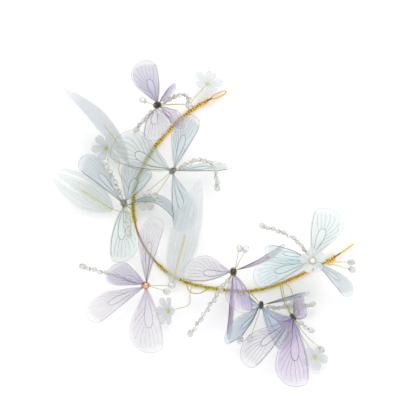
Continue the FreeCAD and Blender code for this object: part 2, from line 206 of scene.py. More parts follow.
def looseParts(node):  # the separate solids of a CAD node, as their points
    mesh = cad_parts[node].data
    co = np.empty(len(mesh.vertices) * 3)
    mesh.vertices.foreach_get("co", co)
    corner = np.empty(len(mesh.loops), np.int64)
    mesh.loops.foreach_get("vertex_index", corner)
    points, same = np.unique(np.round(co.reshape(-1, 3), 6), axis=0, return_inverse=True)
    tri = same.ravel()[corner].reshape(-1, 3)
    label = np.arange(len(points))
    while True:
        lower = label.copy()
        np.minimum.at(lower, tri.ravel(), np.repeat(label[tri].min(1), 3))
        lower = lower[lower]
        if (lower == label).all():
            return [points[label == k] for k in np.unique(label)]
        label = lower


def middleOf(node):
    low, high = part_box(node)
    return np.array((low + high) / 2)


def mainAxes(points):  # three directions, from the longest spread to the shortest
    return np.linalg.svd(points - points.mean(0), full_matrices=False)[2]


# Shader maths: a node's output that takes Python operators
class Sock:
    def __init__(self, paint, socket):
        self.paint, self.socket = paint, socket

    def math(self, operation, *values):
        return self.paint.node("ShaderNodeMath", {"operation": operation}, dict(enumerate(values)))

    def __add__(self, other):
        return self.math("ADD", self, other)

    def __sub__(self, other):
        return self.math("SUBTRACT", self, other)

    def __rsub__(self, other):
        return self.math("SUBTRACT", other, self)

    def __mul__(self, other):
        return self.math("MULTIPLY", self, other)

    def __pow__(self, other):
        return self.math("POWER", self, other)

    __radd__ = __add__
    __rmul__ = __mul__

    def sin(self):
        return self.math("SINE", self)

    def size(self):
        return self.math("ABSOLUTE", self)

    def clamp(self):
        return self.math("MINIMUM", self.math("MAXIMUM", self, 0.0), 1.0)

    def step(self, low, high):  # 0 below low, 1 above high, smooth between
        return self.paint.node("ShaderNodeMapRange", {"interpolation_type": "SMOOTHSTEP"},
                               {"Value": self, "From Min": low, "From Max": high})

    def part(self, axis):
        return self.paint.node("ShaderNodeSeparateXYZ", {}, {0: self}, axis)


class Paint:  # one material and its nodes
    def __init__(self, name):
        self.material = bpy.data.materials.new(name)
        self.material.use_nodes = True
        self.tree = self.material.node_tree
        self.surface = self.tree.nodes["Principled BSDF"]

    def node(self, kind, settings=None, inputs=None, out=0):
        made = self.tree.nodes.new(kind)
        for key, value in (settings or {}).items():
            if key == "stops":
                ramp = made.color_ramp
                while len(ramp.elements) < len(value):
                    ramp.elements.new(0.5)
                for element, (position, colour) in zip(ramp.elements, value):
                    element.position, element.color = position, colour
            else:
                setattr(made, key, value)
        for key, value in (inputs or {}).items():
            self.put(made.inputs[key], value)
        return Sock(self, made.outputs[out])

    def put(self, socket, value):
        if isinstance(value, Sock):
            self.tree.links.new(value.socket, socket)
        else:
            socket.default_value = value

    def mix(self, factor, a, b):
        made = self.tree.nodes.new("ShaderNodeMix")
        made.data_type = "RGBA"
        for index, value in ((0, factor), (6, a), (7, b)):
            self.put(made.inputs[index], value)
        return Sock(self, made.outputs[2])

    def place(self):
        return self.node("ShaderNodeTexCoord", {}, {}, "Object")

    def map(self, name):
        return self.node("ShaderNodeUVMap", {"uv_map": name})

    def noise(self, vector, scale):
        return self.node("ShaderNodeTexNoise", {}, {"Vector": vector, "Scale": scale, "Detail": 3.0})

    def bump(self, height, strength, distance):
        return self.node("ShaderNodeBump", {}, {"Height": height, "Strength": strength, "Distance": distance})

    def finish(self, values):
        for key, value in values.items():
            self.put(self.surface.inputs[key], value)
        return self.material


def shade(r, g, b):  # a screen colour, 0 to 255, as linear light
    c = np.array([r, g, b]) / 255
    lin = np.where(c <= 0.04045, c / 12.92, ((c + 0.055) / 1.055) ** 2.4)
    return (*lin.tolist(), 1.0)


# Organza is a sheer woven cloth: "dense" is how much of it covers at the root and "thin" at the tip
organzaLooks = {
    "lilac": {"root": shade(132, 118, 164), "middle": shade(156, 150, 182), "tip": shade(170, 168, 186),
              "dense": 0.60, "thin": 0.56},
    "plum": {"root": shade(112, 92, 156), "middle": shade(136, 120, 172), "tip": shade(156, 144, 184),
             "dense": 0.72, "thin": 0.62},
    "blush": {"root": shade(160, 146, 176), "middle": shade(182, 178, 190), "tip": shade(192, 194, 196),
              "dense": 0.46, "thin": 0.42},
    "orchid": {"root": shade(150, 124, 180), "middle": shade(178, 154, 196), "tip": shade(192, 176, 204),
               "dense": 0.52, "thin": 0.42},
    "mist": {"root": shade(166, 182, 178), "middle": shade(166, 180, 178), "tip": shade(172, 184, 184),
             "dense": 0.46, "thin": 0.50},
    "sky": {"root": shade(168, 192, 194), "middle": shade(164, 184, 190), "tip": shade(164, 180, 190),
            "dense": 0.46, "thin": 0.52},
    "mint": {"root": shade(172, 196, 194), "middle": shade(176, 200, 196), "tip": shade(184, 204, 200),
             "dense": 0.42, "thin": 0.42},
    "aqua": {"root": shade(150, 194, 200), "middle": shade(166, 204, 208), "tip": shade(190, 214, 216),
             "dense": 0.46, "thin": 0.36},
    "azure": {"root": shade(116, 152, 184), "middle": shade(144, 176, 200), "tip": shade(170, 194, 208),
              "dense": 0.56, "thin": 0.48},
}


weaveFacts = {"threads": 17.0, "rimAcross": (0.80, 0.92), "rimTip": (0.86, 0.95), "rimClear": 0.38}


def organza(name, look):
    p = Paint(name)
    wing = p.map("wing")
    s, t = wing.part(0), wing.part(1) * 2.0 - 1.0
    cloth = p.map("cloth")
    warp, weft = cloth.part(0), cloth.part(1)
    cloud = p.noise(p.place(), 90.0)
    tone = (s + (cloud - 0.5) * 0.35).clamp()
    colour = p.node("ShaderNodeValToRGB", {"stops": [(0.0, look["root"]), (0.5, look["middle"]), (1.0, look["tip"])]},
                    {0: tone})
    threads = (warp * weaveFacts["threads"]).sin() * (weft * weaveFacts["threads"]).sin()
    rim = (t.size().step(*weaveFacts["rimAcross"]) + s.step(*weaveFacts["rimTip"])).clamp()
    streak = ((weft * 2.1 + (cloud - 0.5) * 6.0).sin() * 0.5 + 0.5) * (1.0 - s) * 0.10
    body = look["thin"] + (look["dense"] - look["thin"]) * (1.0 - s) ** 1.3 + streak
    alpha = body * (1.0 - rim * weaveFacts["rimClear"]) * (0.86 + cloud * 0.28) * (1.0 + threads * 0.12)
    rough = 0.42 + cloud * 0.18
    return p.finish({"Base Color": colour, "Alpha": alpha.clamp(), "Roughness": rough, "Sheen Weight": 0.25,
                     "Sheen Roughness": 0.4, "Specular IOR Level": 0.35,
                     "Normal": p.bump(threads + cloud * 2.0, 0.25, 0.00006)})


def veinPaint(name, dark, light):
    p = Paint(name)
    reach = p.map("wing").part(0)
    grain = p.noise(p.place(), 600.0)
    colour = p.mix((reach * 0.9 + (grain - 0.5) * 0.3).clamp(), dark, light)
    return p.finish({"Base Color": colour, "Roughness": 0.45 + grain * 0.2})


def petalCloth(petal, look):
    p = Paint("petal cloth " + petal)
    wing = p.map("wing")
    s, t = wing.part(0), wing.part(1) * 2.0 - 1.0
    cloth = p.map("cloth")
    wander = p.noise(p.place(), 60.0)
    fibres = p.node("ShaderNodeTexNoise", {}, {"Vector": p.node("ShaderNodeCombineXYZ", {}, {
        0: cloth.part(0) * 0.02, 1: cloth.part(1) * 2.6, 2: 0.0}), "Scale": 1.0, "Detail": 4.0, "Roughness": 0.7})
    lines = fibres.step(0.42, 0.66) * look["stripes"]
    colour = p.mix((s + (wander - 0.5) * 0.4).clamp(), look["near"], look["far"])
    colour = p.mix(lines * 0.55, colour, (0.90, 0.92, 0.94, 1.0))
    soft = 1.0 - t.size().step(0.74, 1.0) * 0.85
    tipFade = 1.0 - s.step(0.76, 1.0) * 0.5
    alpha = (look["dense"] * soft * tipFade * (0.84 + lines * 0.20) * (0.92 + wander * 0.16)).clamp()
    for middle, width in look["slits"]:
        aside = (t + (wander - 0.5) * 0.2 - middle).size()
        alpha = alpha * (0.12 + aside.step((s - 0.44) * width, (s - 0.40) * width) * 0.88)
    return p.finish({"Base Color": colour, "Alpha": alpha, "Roughness": 0.5 + wander * 0.15, "Sheen Weight": 0.3,
                     "Specular IOR Level": 0.3, "Normal": p.bump(fibres, 0.35, 0.0001)})


def metalPaint(name, deep, bright, rough, metallic, drift=None):
    p = Paint(name)
    place = p.place()
    grain, patch = p.noise(place, 700.0), p.noise(place, 120.0)
    colour = p.mix((grain * 0.8 + patch * 0.7 - 0.25).clamp(), deep, bright)
    if drift:
        along = place.part(1).step(drift["from"], drift["to"])
        colour = p.mix(along, p.mix(0.85, colour, drift["colour"]), colour)
    return p.finish({"Base Color": colour, "Metallic": metallic, "Roughness": rough + (grain - 0.5) * 0.15,
                     "Normal": p.bump(grain, 0.2, 0.00005)})


goldWrap = metalPaint("gold wrap", shade(222, 164, 34), shade(255, 226, 110), 0.30, 0.55,
                      drift={"from": -0.05, "to": -0.015, "colour": shade(200, 196, 56)})
# The core wire's gold is darkened to brown beyond its own tone, so that it shows as painted shade in the gaps between
# the wrap's turns
bandWire = metalPaint("band wire", shade(122, 88, 24), shade(198, 164, 70), 0.34, 0.6)
greenGold = metalPaint("green gold wire", shade(156, 150, 40), shade(222, 214, 108), 0.38, 0.5)
yellowWire = metalPaint("yellow wire", shade(196, 184, 84), shade(232, 222, 150), 0.45, 0.35)
copper = metalPaint("copper bead", shade(200, 138, 104), shade(240, 196, 168), 0.16, 0.8)
lilacVein = veinPaint("lilac vein", shade(60, 38, 62), shade(112, 80, 106))
blushVein = veinPaint("blush vein", shade(104, 74, 96), shade(178, 148, 160))
blueVein = veinPaint("blue vein", shade(44, 40, 50), shade(100, 92, 92))


def beadPaint(name, deep, light, rough, coat):
    p = Paint(name)
    grain = p.noise(p.place(), 500.0)
    return p.finish({"Base Color": p.mix(grain.step(0.35, 0.7), deep, light), "Roughness": rough + grain * 0.15,
                     "Coat Weight": coat, "Coat Roughness": 0.08, "Normal": p.bump(grain, 0.15, 0.0001)})


darkBead = beadPaint("dark bead", shade(22, 16, 18), shade(62, 46, 40), 0.18, 0.6)
smokyBead = beadPaint("smoky bead", shade(70, 72, 84), shade(142, 146, 160), 0.22, 0.5)
pearlPaint = beadPaint("pearl", shade(216, 212, 200), shade(246, 243, 234), 0.16, 0.8)


def milkyPaint():
    p = Paint("milky petal")
    wing = p.map("wing")
    s, t = wing.part(0), wing.part(1) * 2.0 - 1.0
    cloud = p.noise(p.place(), 320.0)
    ribs = ((t * 9.0).sin() * 0.5 + 0.5) * (1.0 - s * 0.6)
    colour = p.mix((s * 0.8 + (cloud - 0.5) * 0.4).clamp(), shade(196, 202, 196), shade(212, 216, 222))
    return p.finish({"Base Color": colour, "Alpha": (0.66 + cloud * 0.2 + ribs * 0.08).clamp(),
                     "Roughness": 0.30 + cloud * 0.2, "Coat Weight": 0.3, "Coat Roughness": 0.2,
                     "Normal": p.bump(ribs + cloud, 0.3, 0.0002)})


def crystalPaint():
    p = Paint("clear crystal")
    cloud = p.noise(p.place(), 260.0)
    colour = p.mix(cloud.step(0.4, 0.65), shade(246, 248, 248), shade(212, 214, 204))
    return p.finish({"Base Color": colour, "Roughness": 0.03 + cloud * 0.05, "Transmission Weight": 0.55, "IOR": 1.44,
                     "Coat Weight": 0.5, "Coat Roughness": 0.02})


milkyPetal = milkyPaint()
clearCrystal = crystalPaint()
print("materials made")


# The wing's outline, as shares of its width, at shares of a quarter turn whose sine is the distance from the root
wingEdge = {
    "at": [0.0, 0.154, 0.32, 0.494, 0.685, 0.85, 1.0],
    "lead": [0.060, 0.190, 0.275, 0.312, 0.300, 0.190, -0.040],
    "trail": [-0.060, -0.290, -0.535, -0.620, -0.490, -0.280, -0.040],
}
wingFacts = {"rows": 72, "cols": 33, "rootReach": 3.7 * mm, "inside": 3.0 * mm, "camber": 0.5 * mm, "wave": 0.3 * mm,
             "neck": 4.2 * mm, "widest": 0.93, "halfThick": 0.2 * mm, "tip": 0.9995}
veinFacts = {"jitter": 0.035, "points": 18, "sides": 4, "root": 0.09, "swell": 0.08, "taper": 0.05,
             "rim": 0.085 * mm, "rimPoints": 90, "rimStart": 0.06}
veinLines = {  # share of the length, side from -1 at the trailing edge to 1 at the leading edge, and thickness
    "costa": ([(-0.05, 0.4), (0.1, 0.70), (0.3, 0.86), (0.55, 0.93), (0.8, 0.92), (0.90, 0.88)], 1.3),
    "cellTop": ([(-0.05, 0.1), (0.12, 0.36), (0.28, 0.50), (0.44, 0.55), (0.54, 0.48)], 1.15),
    "cellEnd": ([(0.54, 0.48), (0.60, 0.34), (0.61, 0.14), (0.56, 0.0), (0.50, -0.04)], 1.05),
    "cellLow": ([(-0.05, -0.1), (0.14, -0.04), (0.3, -0.06), (0.42, -0.07), (0.50, -0.04)], 1.15),
    "tipTop": ([(0.54, 0.48), (0.66, 0.60), (0.78, 0.65), (0.88, 0.64)], 0.7),
    "tipHigh": ([(0.60, 0.34), (0.70, 0.38), (0.81, 0.39), (0.92, 0.36)], 0.65),
    "tipMiddle": ([(0.61, 0.18), (0.72, 0.15), (0.83, 0.10), (0.935, 0.02)], 0.65),
    "tipLow": ([(0.59, 0.06), (0.70, -0.08), (0.82, -0.22), (0.915, -0.34)], 0.65),
    "tipEnd": ([(0.55, -0.02), (0.66, -0.24), (0.77, -0.44), (0.86, -0.60)], 0.65),
    "trailOne": ([(0.46, -0.06), (0.56, -0.32), (0.67, -0.58), (0.76, -0.76)], 0.6),
    "trailTwo": ([(0.36, -0.07), (0.46, -0.36), (0.56, -0.62), (0.63, -0.80)], 0.6),
    "trailThree": ([(0.26, -0.05), (0.35, -0.38), (0.43, -0.64), (0.49, -0.82)], 0.6),
    "rear": ([(-0.04, -0.3), (0.08, -0.46), (0.19, -0.66), (0.30, -0.82)], 0.8),
}


def wingFrames(node, centre):  # each wing's root, directions and sizes, read from its CAD solid
    found = []
    for points in looseParts(node):
        root = points[np.argsort(np.linalg.norm(points - centre, axis=1))[:4]]
        along = unit(root.mean(0) - centre)
        across = mainAxes(root)[0]
        across = unit(across - (across @ along) * along)
        local = points - centre
        side = local @ across
        if side.max() > -side.min():
            across, side = -across, -side
        normal = np.cross(along, across)
        x, z = local @ along - wingFacts["rootReach"], local @ normal
        length = x.max()
        mid = np.abs(x / length - 0.5) < 0.25
        if z[mid].mean() < 0:
            normal, z = -normal, -z
        found.append({"root": centre + along * wingFacts["rootReach"], "along": along, "across": across,
                      "normal": normal, "length": length, "width": (side.max() - side.min()) / wingFacts["widest"],
                      "bow": max(z.max() - wingFacts["halfThick"], 0.0)})
    return sorted(found, key=lambda w: -w["length"])


# Root + s of the length + the outline at t across it, bowed along, cambered across and waved at the sides
def wingPoint(w, s, t):
    a = 2 / math.pi * np.arcsin(np.clip(s, 0, 1))
    lead, trail = (smoothCurve(a, wingEdge["at"], np.array(wingEdge[e]) * w["width"]) for e in ("lead", "trail"))
    neck = np.clip(1 + s * w["length"] / wingFacts["neck"], 0.2, 1)
    y = ((lead + trail) / 2 + t * (lead - trail) / 2) * neck
    body = np.clip(s, 0, 1)
    wave = wingFacts["wave"] * np.sin(2 * math.pi * (2.3 * s + 0.4 * t + w["phase"])) * t * t * body
    z = 4 * w["bow"] * s * (1 - s) * (s > 0) + wingFacts["camber"] * (1 - t * t) * np.sin(math.pi * body) + wave
    return (w["root"] + (s * w["length"])[..., None] * w["along"] + y[..., None] * w["across"]
            + z[..., None] * w["normal"])


def wingSheet(w):
    s = np.sin(np.linspace(0, math.pi / 2, wingFacts["rows"]))
    start = -wingFacts["inside"] / w["length"]
    s = np.concatenate([np.linspace(start, 0, 4)[:-1], s[:-1], [wingFacts["tip"]]])[:, None]
    t = np.linspace(-1, 1, wingFacts["cols"])[None, :]
    s, t = np.broadcast_arrays(s, t)
    grid = wingPoint(w, s, t)
    maps = {"wing": np.stack([np.clip(s, 0, 1), t / 2 + 0.5], -1),
            "cloth": np.stack([s * w["length"] / mm, t * w["width"] * 0.4 / mm], -1)}
    return grid, sheetOf(grid, maps)


def veinTubes(w, weight):
    tubes = []
    for knots, thick in veinLines.values():
        knots = np.array(knots)
        sway = np.sin(7 * knots[1:, 0] + w["phase"] * 6) * (np.abs(knots[1:, 1]) < 0.8)
        knots[1:, 1] += veinFacts["jitter"] * sway
        u = np.linspace(0, 1, veinFacts["points"])
        st = smoothCurve(u, np.linspace(0, 1, len(knots)), knots)
        line = wingPoint(w, st[:, 0], st[:, 1])
        swell = veinFacts["swell"] * smoothRise(st[:, 0], 0.0, 0.35)
        radius = weight * thick * (veinFacts["root"] + swell - veinFacts["taper"] * st[:, 0]) * mm
        made = tube(line, radius, veinFacts["sides"])
        made["maps"] = {"wing": np.repeat(st, veinFacts["sides"], 0)}
        tubes.append(made)
    turn = np.linspace(0, 1, veinFacts["rimPoints"])
    s = np.maximum(np.sin(math.pi * turn) * wingFacts["tip"], veinFacts["rimStart"])
    t = np.where(turn < 0.5, 1.0, -1.0)
    rim = tube(wingPoint(w, s, t), veinFacts["rim"] * weight, veinFacts["sides"])
    rim["maps"] = {"wing": np.repeat(np.stack([np.full(len(t), 0.9), t], 1), veinFacts["sides"], 0)}
    return tubes + [rim]


# The cloth of the left and right pairs, the longest wing first, with the veins, their weight and the bead
butterflyLooks = {
    1: {"left": ["lilac", "plum"], "right": ["blush", "orchid"], "vein": lilacVein, "weight": 1.0, "bead": darkBead},
    2: {"left": ["sky", "mint"], "right": ["mist", "sky"], "vein": blueVein, "weight": 1.0, "bead": smokyBead},
    3: {"left": ["sky", "sky"], "right": ["sky", "mint"], "vein": blueVein, "weight": 1.0, "bead": smokyBead},
    4: {"left": ["blush", "lilac"], "right": ["blush", "blush"], "vein": blushVein, "weight": 0.9, "bead": copper},
    5: {"left": ["plum", "blush"], "right": ["orchid", "orchid"], "vein": lilacVein, "weight": 1.0, "bead": darkBead},
    6: {"left": ["mint", "aqua"], "right": ["aqua", "sky"], "vein": blueVein, "weight": 0.9, "bead": smokyBead},
    7: {"left": ["azure", "azure"], "right": ["azure", "azure"], "vein": blueVein, "weight": 1.1, "bead": darkBead},
    8: {"left": ["orchid", "orchid"], "right": ["orchid", "blush"], "vein": lilacVein, "weight": 1.1,
        "bead": darkBead},
}
cloths = {name: organza("organza " + name, look) for name, look in organzaLooks.items()}
blueCloths = ("mist", "sky", "mint", "aqua", "azure")

for number, looks in butterflyLooks.items():
    name = f"butterfly_{number}"
    centre = middleOf(name + "_body")
    for side in ("left", "right"):
        node, body = f"{name}_wings_{side}", f"{name}_{side}_pair"
        tubes, pieces = [], []
        for index, w in enumerate(wingFrames(node, centre)):
            w["phase"] = rng.uniform(0, 1)
            cloth = looks[side][index]
            grid, sheet = wingSheet(w)
            piece = makePiece(f"{name}_wing_{side}_{index + 1}", [sheet], cloths[cloth], body,
                              "blue_organza" if cloth in blueCloths else "lilac_organza", [node])
            tubes += veinTubes(w, looks["weight"])
            chord = float(np.linalg.norm(grid[:, 0] - grid[:, -1], axis=1).max())
            pieces.append((piece, (chord, float(w["length"])), gridArea(grid)))
        veins = makePiece(f"{name}_veins_{side}", tubes, looks["vein"], body,
                          "blue_organza" if looks["vein"] == blueVein else "lilac_organza")
print("wings made")


# Beads, wires and crystals of each butterfly; a wire is strands wound together, each a share of its radius
wireFacts = {"stem": 0.4 * mm, "fine": 0.25 * mm, "pitch": 3.2 * mm, "finePitch": 3.2 * mm * 0.7,
             "strands": 2, "share": 0.6, "step": 0.6 * mm}
wireRoutes = {  # the stem from the band to the bead, then the tails and antennae, in millimetres
    1: {"stem": [(-80, 11, 3.3), (-80.5, 11, 8), (-86, 8, 13), (-92, 1, 18), (-98.5, -8.5, 24.5)],
        "fine": [[(-99, -13, 26), (-97.5, -23, 25), (-96, -34, 22)],
                 [(-98.5, -8, 27), (-97, 2, 31), (-95, 10, 33), (-89, 12, 32), (-86, 8, 29)],
                 [(-102, -12, 27), (-109.5, -16.5, 31)]]},
    2: {"stem": [(-72.5, -45.5, 3.3), (-71.5, -45, 9), (-66, -42, 17), (-61, -36, 25), (-56, -33.5, 28.5)],
        "fine": [[(-53.5, -29, 32), (-50.5, -15, 41), (-45, -7.5, 45), (-37.5, -6, 46), (-30, -9.5, 44),
                  (-23.5, -14, 40)], [(-53.5, -35, 30), (-48, -54.5, 27)], [(-54.5, -35, 31), (-54, -57, 33)]]},
    3: {"stem": [(-51, -74, 3.3), (-51.5, -74, 8), (-54, -75, 14), (-57.5, -75.8, 17.5)],
        "fine": [[(-61, -75, 21), (-75, -71, 32), (-92, -67, 32)], [(-56, -76, 21), (-45, -79.5, 34), (-38, -87, 38)],
                 [(-56, -76.5, 22), (-45, -85, 35)]]},
    4: {"stem": [(-16, -85.5, 3.3), (-15.5, -86, 8), (-11, -90, 13), (-4, -98, 18), (-1.5, -101, 19.8)],
        "fine": [[(-3, -104.5, 22), (-19, -114, 21), (-41, -130, 17)], [(2, -100, 23), (13, -92.5, 26)],
                 [(1.5, -99.5, 23), (12, -87, 29)]]},
    5: {"stem": [(17.5, -77, 3.3), (18, -77.5, 8), (24, -80, 12), (30, -75, 15), (31, -67, 17), (36, -58, 20),
                 (35.5, -50, 23.5), (33.5, -45.5, 25.5)],
        "fine": [[(34, -48, 27), (41, -72, 25), (49, -98.5, 21)], [(32, -41.5, 28), (22, -30, 31)],
                 [(32.2, -41.5, 29.5), (29, -34, 32), (26, -26.5, 32)]]},
    6: {"stem": [(66.5, -7, 3.3), (66.5, -6.5, 9), (65.5, -2, 17), (64.3, 5, 26.5)],
        "fine": [[(61, 7.5, 31), (44, 7.5, 40), (33, 3, 42), (20, -6, 41)], [(67, 9, 29), (83, 29, 31)],
                 [(67, 8.5, 29), (78, 19, 26), (88, 25.5, 24)], [(64, 7, 29), (64, 7, 34), (64.1, 7.1, 38.6)]]},
    7: {"stem": [(52.5, -45, 3.3), (53, -44.7, 8), (58, -44, 13), (64.5, -44, 17.5)],
        "fine": [[(68, -43.5, 18.5), (77, -33, 12.5), (83, -23, 11.5), (89.5, -14, 10)],
                 [(66.5, -47, 18), (76, -73, 14)], [(67.5, -46.5, 18), (80, -66, 16)]]},
    8: {"stem": [(62.5, -23, 3.3), (64, -24, 9), (73, -29, 18), (84, -31, 26), (86, -31, 28.5)],
        "fine": [[(90.5, -31, 30), (97, -29, 29), (104, -27, 26)],
                 [(90.5, -31.5, 29), (104, -32.5, 24), (120, -29.5, 20)]]},
}


def twisted(points, radius, pitch):
    line = routeLine(points, wireFacts["step"])
    strand = radius * wireFacts["share"]
    starts = [2 * math.pi * k / wireFacts["strands"] for k in range(wireFacts["strands"])]
    return [tube(around(line, strand, pitch, start, 9), strand, 5) for start in starts]


crystalFacts = {
    "sides": 8, "lean": 0.16, "size": (0.96, 1.1), "aside": 0.35 * mm,
    # The rows of a cut bead: radius and distance along in bead radii, and turn in sides
    "rows": [(0.34, -1.24, 0), (0.72, -1.08, 0), (1.04, -0.36, 0.5), (1.10, 0.0, 0.5), (1.04, 0.36, 0.5),
             (0.72, 1.08, 1), (0.34, 1.24, 1)],
}


def cutBead():
    sides = crystalFacts["sides"]
    r, x, turn = np.array(crystalFacts["rows"]).T[..., None]
    angle = 2 * math.pi * (np.arange(sides)[None, :] + turn) / sides
    verts = np.stack([np.broadcast_to(x, angle.shape), r * np.cos(angle), r * np.sin(angle)], -1).reshape(-1, 3)
    faces = quadsOf(len(r), sides, True).tolist()
    return verts, faces + [list(range(sides))[::-1], list(range(len(verts) - sides, len(verts)))]


def beadsOf(node):  # one cut bead at each CAD bead's centre, axis and radius
    local, faces = cutBead()
    made = []
    for points in looseParts(node):
        middle = (points.max(0) + points.min(0)) / 2
        axes = mainAxes(points)
        spread = np.ptp((points - middle) @ axes.T, axis=0)
        axis = axes[np.argmin(spread)]
        radius = spread.max() / 2
        across = unit(np.cross(axis, np.eye(3)[np.argmin(np.abs(axis))]))
        lean = unit(axis + rng.normal(0, crystalFacts["lean"], 3))
        across = unit(across - (across @ lean) * lean)
        spin = rng.uniform(0, math.pi)
        across = math.cos(spin) * across + math.sin(spin) * np.cross(lean, across)
        turn = np.stack([lean, across, np.cross(lean, across)])
        aside = np.cross(axis, [0, 0, 1.0]) * (crystalFacts["aside"] if len(made) % 2 else -crystalFacts["aside"])
        size = radius * rng.uniform(*crystalFacts["size"])
        made.append({"verts": middle + aside + size * local @ turn, "faces": faces})
    return made


# Each bead is bound with wire: two short coils and two rings, or one of each on the plain copper bead
bindingFacts = {
    "wire": 0.22 * mm, "ring": 0.2 * mm, "ringShare": 1.01, "plainLeans": (0.5,), "leans": (-0.5, 0.6), "spine": 0.86,
    # Each coil: its first and last point on the spine, its share of the bead's radius, its pitch and its start
    "coils": [(30, 39, 0.62, 0.8 * mm, 1), (1, 8, 0.66, 0.85 * mm, 0)],
}

for number, looks in butterflyLooks.items():
    name = f"butterfly_{number}"
    centre = middleOf(name + "_body")
    points = looseParts(name + "_body")[0]
    axis = mainAxes(points)[0]
    half = np.ptp((points - centre) @ axis) / 2
    radius = float(np.linalg.norm(np.cross(points - centre, axis), axis=1).max())
    k = np.linspace(-1, 1, 19)
    plain = looks["bead"] == copper
    lobes = radius * np.sqrt(np.clip(1 - k * k, 0, 1)) * (1.0 if plain else 0.90 + 0.10 * np.cos(3 * math.pi * k))
    makePiece(name + "_bead", [lathe(centre, axis, k * half, lobes, 28)], looks["bead"], name,
              "copper_bead" if plain else "bound_bead", [name + "_body"])
    spine = centre + np.linspace(-bindingFacts["spine"], bindingFacts["spine"], 40)[:, None] * axis * half
    bound = []
    for first, last, share, pitch, start in bindingFacts["coils"][:1 if plain else 2]:
        bound.append(tube(around(spine[first:last], radius * share, pitch, start, 20), bindingFacts["wire"]))
    turn = np.linspace(0, 2 * math.pi, 60)[:, None]
    up = unit(np.cross(axis, [0.0, 0.3, 1.0]))
    for lean in bindingFacts["plainLeans" if plain else "leans"]:
        tilt = unit(up + lean * np.cross(axis, up))
        ring = centre + half * np.cos(turn) * axis + radius * bindingFacts["ringShare"] * np.sin(turn) * tilt
        bound.append(tube(ring, bindingFacts["ring"], 5))
    makePiece(name + "_binding", bound, greenGold, name, "green_gold_wire")
    route = wireRoutes[number]
    wires = twisted(route["stem"], wireFacts["stem"], wireFacts["pitch"])
    for line in route["fine"]:
        wires += twisted(line, wireFacts["fine"], wireFacts["finePitch"])
    makePiece(name + "_stems", wires, greenGold, name, "green_gold_wire", [name + "_wires"])
    makePiece(name + "_beads", beadsOf(name + "_crystals"), clearCrystal, name, "clear_crystal",
              [name + "_crystals"], smooth=False)
print("beads and wires made")


# The band, from its left end round to its right end, in millimetres
bandRoute = [
    (-78.3, 25, 4.6), (-79.5, 19, 3.0), (-81, 11, 1.4), (-81, -6, 1.4), (-78.5, -25, 1.4), (-73.5, -43, 1.4),
    (-64, -61, 1.4), (-51, -74, 1.4), (-34, -82.5, 1.4), (-16, -85.5, 1.4), (1, -84, 1.4), (17, -77.5, 1.4),
    (37, -61, 1.4), (52, -45, 1.4), (61, -27, 1.4), (66.5, -7, 1.4), (70.4, 9.5, 1.4), (71.8, 18.5, 2.9),
    (72.6, 25, 4.4), (72.8, 27, 4.6),
]
bandFacts = {"gap": 0.3 * mm, "step": 0.5 * mm, "strands": 3, "strand": 0.38 * mm, "offset": 0.4 * mm, "pitch": 7 * mm}


def middleOfRun(p, run, side):  # moved along the run by half the gap
    return (p[run] + p[run + 1]) / 2 + side * unit(p[run + 1] - p[run]) * bandFacts["gap"] / 2


def bandLine(first, last):  # from the middle of one run to the middle of another, or to the band's own end
    p, arcs = np.array(bandRoute) * mm, routeArcs(bandRoute)
    start = p[0] if first == 0 else middleOfRun(p, first, 1)
    stop = p[-1] if last == len(p) - 2 else middleOfRun(p, last, -1)
    return evenly(np.concatenate([[start], *arcs[first:last], [stop]]), bandFacts["step"])


spans = {"left": (0, 4, "arm_left"), "middle": (4, 14, "band_middle"), "right": (14, len(bandRoute) - 2, "arm_right")}
for span, (first, last, body) in spans.items():
    line = bandLine(first, last)
    starts = [2 * math.pi * k / bandFacts["strands"] for k in range(bandFacts["strands"])]
    cores = [tube(around(line, bandFacts["offset"], bandFacts["pitch"], start, 16), bandFacts["strand"])
             for start in starts]
    makePiece("core_wires_" + span, cores, bandWire, body, "band_wire", ["band_core_" + span])


# Each wrapped stretch: first and last run, body, outer radius, and radius and pitch of its wire, in millimetres
wraps = {"left_arm": (0, 4, "arm_left", 1.8, 0.54, 2.1), "left_half": (4, 7, "band_middle", 1.7, 0.48, 1.8),
         "right_half": (9, 14, "band_middle", 1.5, 0.46, 2.0), "right_arm": (14, 15, "arm_right", 1.6, 0.48, 1.9),
         "end_coil": (16, 17, "arm_right", 2.1, 0.6, 1.9)}
wrapFacts = {"bareSteps": 6, "wobble": 0.10, "loosePitch": 4.2, "looseSunk": 0.55, "looseShare": 0.62}


def wrapTurns(first, last, outer, wire, pitch):  # one wire wound tightly and unevenly, then a loose one over it
    line = bandLine(first, last)[wrapFacts["bareSteps"] if first == 0 else 0:]
    fine = around(line, 1.0, pitch)
    steady = evenly(line, pitch / 14)
    far = np.linspace(0, 1, len(fine))[:, None]
    uneven = 1 + wrapFacts["wobble"] * (np.sin(61 * far) * 0.5 + np.sin(149 * far + 1.3) * 0.5)
    turns = steady + (fine - steady) * (outer - wire) * uneven
    loose = around(line, outer - wire * wrapFacts["looseSunk"], pitch * wrapFacts["loosePitch"], 2.0, 30)
    return [tube(turns, wire), tube(loose, wire * wrapFacts["looseShare"], 5)]


for wrap, (first, last, body, outer, wire, pitch) in wraps.items():
    makePiece("wrap_" + wrap, wrapTurns(first, last, outer * mm, wire * mm, pitch * mm), goldWrap, body, "gold_wrap",
              ["wire_wrap_" + wrap])


# Each loop: the band's end that it is on, its heading and roll in degrees, and its body
loops = {"left": (0, 76, 65, "arm_left"), "right": (-1, 86, 90, "arm_right")}
loopFacts = {"length": 13.0, "width": 7.6, "wire": 0.6, "strand": 0.32 * mm, "offset": 0.27 * mm, "pitch": 3.0 * mm}


